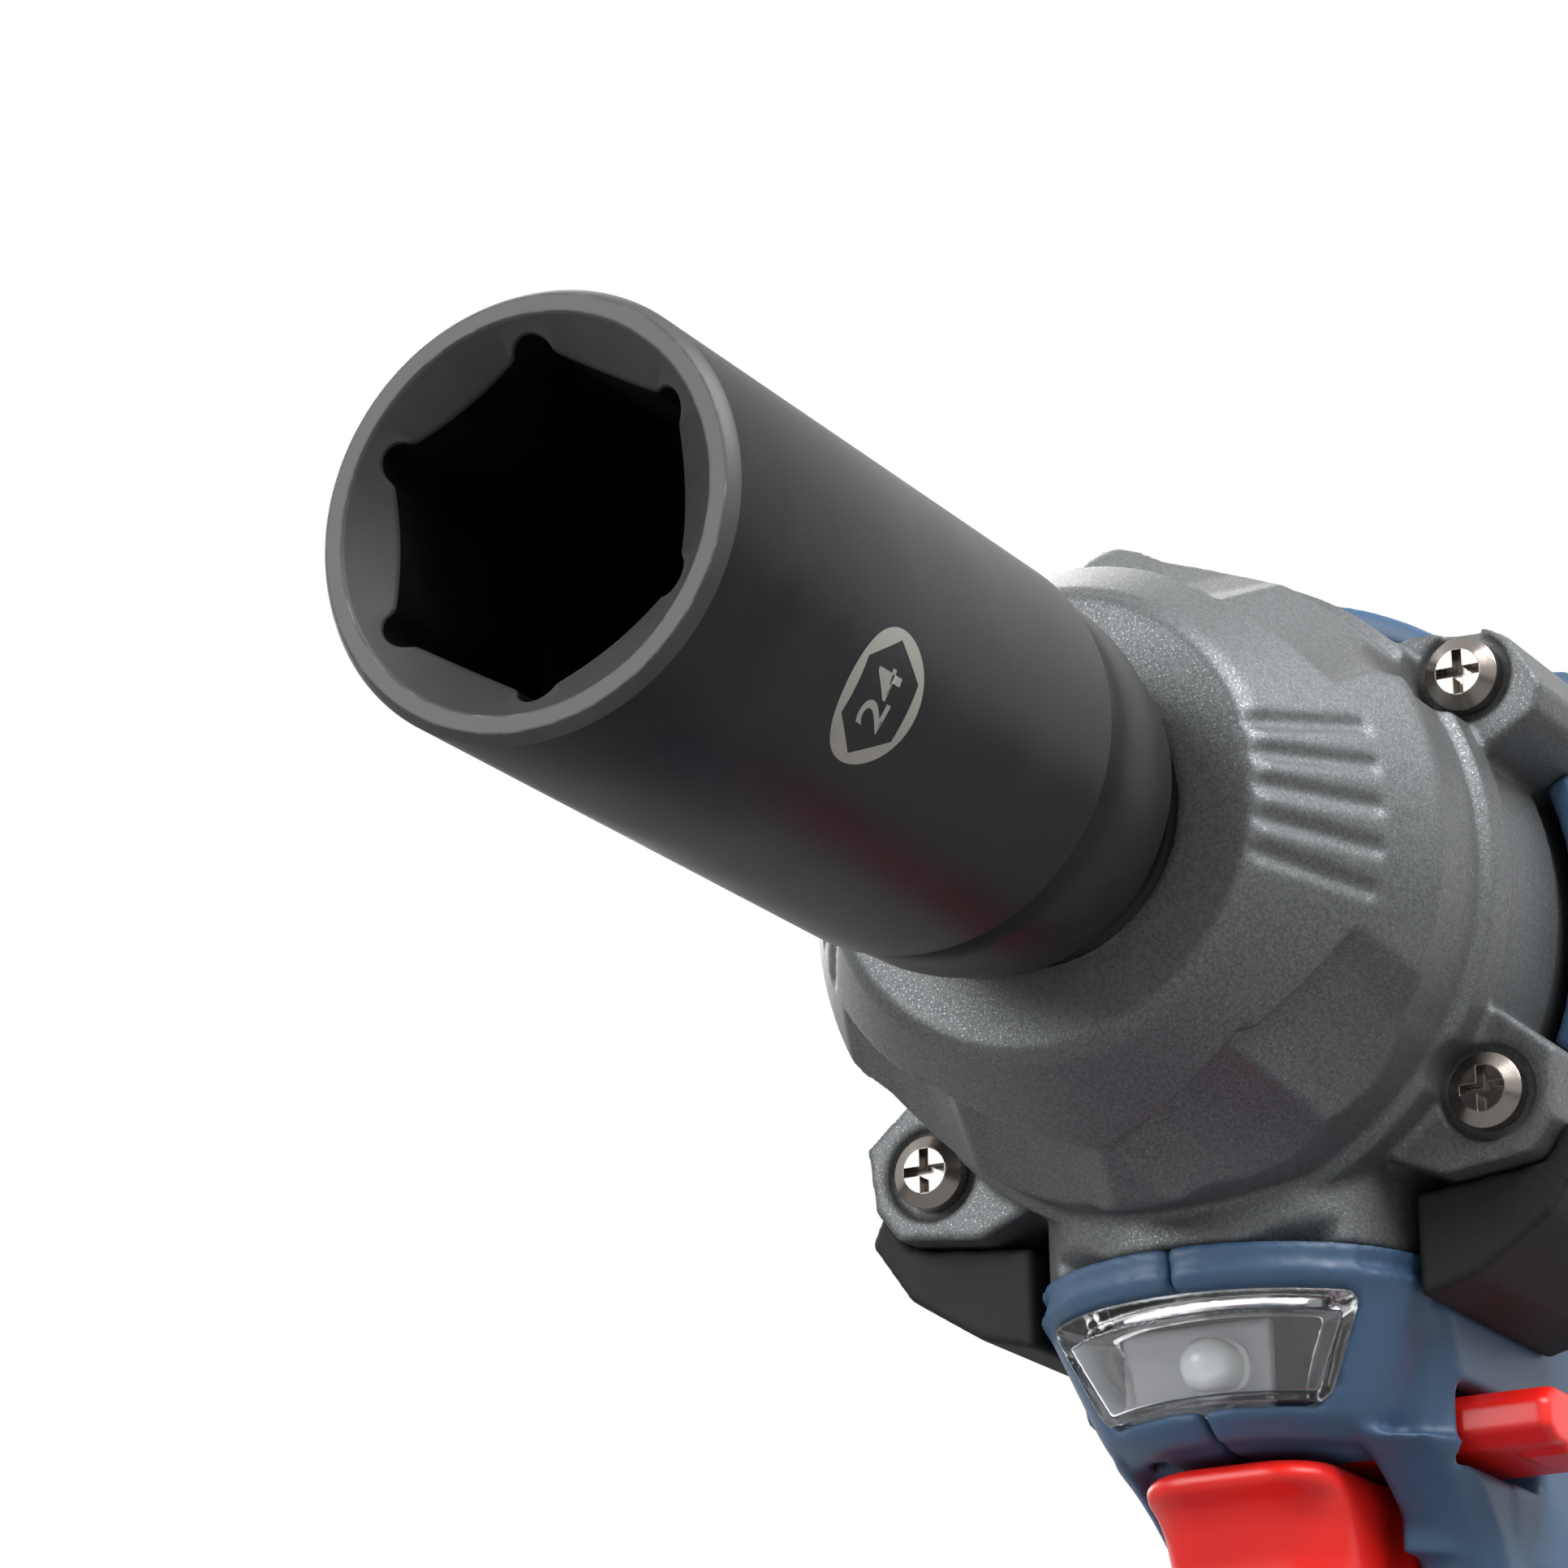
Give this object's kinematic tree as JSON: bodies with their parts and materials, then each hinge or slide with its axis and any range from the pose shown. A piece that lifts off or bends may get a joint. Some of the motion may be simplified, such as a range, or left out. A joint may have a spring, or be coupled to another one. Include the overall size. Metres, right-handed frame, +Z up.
{
  "type": "cordless impact wrench",
  "caption": "Cordless impact wrench with a deep hexagonal impact socket, cast hammer case, blue housing, red trigger and slide-on battery pack.",
  "frame": {"origin": "centre of the battery pack's flat underside", "axes": "+X forward along the drive axis out of the socket's mouth, +Y to the tool's left, +Z up"},
  "size_m": [0.238, 0.0961, 0.2285],
  "materials": {
    "black_steel": "black phosphate over forged steel, satin",
    "dark_steel": "machined and oiled",
    "bright_steel": "ground",
    "gear_steel": "cut teeth, oiled",
    "spring_steel": "drawn wire",
    "screw_steel": "zinc plated, slightly worn",
    "black_screw": "black zinc",
    "hook_steel": "nickel plated",
    "case_paint": "dark silver metallic paint on cast aluminium, sandy sparkle",
    "cast_alloy": "as cast",
    "bronze": "sintered bronze",
    "brass": "satin",
    "lamination": "stacked laminations",
    "copper_wire": "enamelled copper",
    "blue_plastic": "slate blue nylon, fine moulded texture",
    "black_plastic": "glass filled nylon",
    "pack_plastic": "glass filled nylon, fine texture",
    "red_plastic": "satin",
    "button_grey": "satin",
    "white_plastic": "satin",
    "clear_plastic": "clear polycarbonate",
    "lamp_white": "phosphor dome",
    "board_green": "solder mask",
    "wire_red": "silicone insulation",
    "cell_wrap": "shrink wrap",
    "rubber": "soft moulded rubber, fine leather-like texture"
  },
  "bodies": {
    "housing": {"hammer_case": "case_paint", "case_screws": "screw_steel", "nose_bushing": "bronze", "nose_seal": "rubber", "thrust_washer": "white_plastic", "ring_gear": "gear_steel", "bearing_plate": "cast_alloy", "spindle_bearing": "bright_steel", "front_bearing": "bright_steel", "rear_bearing": "bright_steel", "stator_core": "lamination", "stator_coils": "copper_wire", "sensor_board": "board_green", "housing_left": "blue_plastic", "housing_right": "blue_plastic", "grip_left": "rubber", "grip_right": "rubber", "rear_cover": "black_plastic", "rear_cover_screws": "black_screw", "housing_screws": "black_screw", "lamp_lens": "clear_plastic", "lamp_led": "lamp_white", "lamp_board": "white_plastic", "trigger_spring": "spring_steel", "switch_body": "black_plastic", "control_board": "black_plastic", "motor_wires": "wire_red", "terminal_block": "black_plastic", "terminal_blades": "brass", "hook_inserts": "brass", "belt_hook": "hook_steel", "hook_screw": "black_screw"},
    "anvil": {"anvil": "dark_steel", "friction_ring": "bright_steel"},
    "socket": {"impact_socket": "black_steel"},
    "spindle": {"spindle": "dark_steel", "planet_pins": "bright_steel", "cam_balls": "bright_steel", "hammer_spring": "spring_steel"},
    "hammer": {"hammer": "dark_steel", "spring_washer": "bright_steel"},
    "planet_1": {"planet_gear_1": "gear_steel"},
    "planet_2": {"planet_gear_2": "gear_steel"},
    "planet_3": {"planet_gear_3": "gear_steel"},
    "rotor": {"rotor_shaft": "gear_steel", "rotor_core": "lamination", "rotor_magnets": "bright_steel", "cooling_fan": "black_plastic"},
    "trigger": {"trigger": "red_plastic"},
    "selector": {"selector": "red_plastic"},
    "battery": {"battery_lower_case": "pack_plastic", "battery_upper_case": "pack_plastic", "battery_cells": "cell_wrap", "cell_straps": "bright_steel", "battery_board": "board_green", "battery_contacts": "brass", "battery_screws": "black_screw", "latch_spring": "spring_steel"},
    "latch": {"battery_latch": "red_plastic"},
    "gauge": {"gauge_button": "button_grey"}
  },
  "joints": [
    {"name": "anvil_spin", "type": "hinge", "parent": "housing", "child": "anvil", "pos_m": [0.06, 0, 0.195], "axis": [1, 0, 0], "continuous": true},
    {"name": "socket_pull", "type": "slide", "parent": "anvil", "child": "socket", "axis": [1, 0, 0], "range_m": [0, 0.026]},
    {"name": "spindle_spin", "type": "hinge", "parent": "housing", "child": "spindle", "pos_m": [0, 0, 0.195], "axis": [1, 0, 0], "continuous": true},
    {"name": "hammer_retract", "type": "slide", "parent": "spindle", "child": "hammer", "axis": [-1, 0, 0], "range_m": [0, 0.008], "stiffness_N_per_m": 9000, "springref_m": -0.004, "deforming": ["hammer_spring"]},
    {"name": "planet_1_spin", "type": "hinge", "parent": "spindle", "child": "planet_1", "pos_m": [-0.006, 0, 0.1818], "axis": [1, 0, 0], "continuous": true},
    {"name": "planet_2_spin", "type": "hinge", "parent": "spindle", "child": "planet_2", "pos_m": [-0.006, 0.01143, 0.2016], "axis": [1, 0, 0], "continuous": true},
    {"name": "planet_3_spin", "type": "hinge", "parent": "spindle", "child": "planet_3", "pos_m": [-0.006, -0.01143, 0.2016], "axis": [1, 0, 0], "continuous": true},
    {"name": "rotor_spin", "type": "hinge", "parent": "housing", "child": "rotor", "pos_m": [-0.045, 0, 0.195], "axis": [1, 0, 0], "continuous": true},
    {"name": "trigger_press", "type": "slide", "parent": "housing", "child": "trigger", "axis": [-1, 0, 0], "range_m": [0, 0.007], "stiffness_N_per_m": 900, "springref_m": -0.004, "deforming": ["trigger_spring"]},
    {"name": "selector_push", "type": "slide", "parent": "housing", "child": "selector", "axis": [0, -1, 0], "range_m": [0, 0.008]},
    {"name": "battery_slide", "type": "slide", "parent": "housing", "child": "battery", "axis": [1, 0, 0], "range_m": [0, 0.09]},
    {"name": "latch_press", "type": "slide", "parent": "battery", "child": "latch", "axis": [0, 0, -1], "range_m": [0, 0.004], "stiffness_N_per_m": 900, "springref_m": -0.003, "deforming": ["latch_spring"]},
    {"name": "gauge_press", "type": "slide", "parent": "battery", "child": "gauge", "axis": [1, 0, 0], "range_m": [0, 0.001], "stiffness_N_per_m": 2000, "springref_m": -0.001}
  ],
  "couplings": [
    {"joint": "spindle_spin", "follows": "anvil_spin", "ratio": 1},
    {"joint": "rotor_spin", "follows": "anvil_spin", "ratio": 5.5},
    {"joint": "planet_1_spin", "follows": "anvil_spin", "ratio": -2.5714},
    {"joint": "planet_2_spin", "follows": "anvil_spin", "ratio": -2.5714},
    {"joint": "planet_3_spin", "follows": "anvil_spin", "ratio": -2.5714}
  ]
}
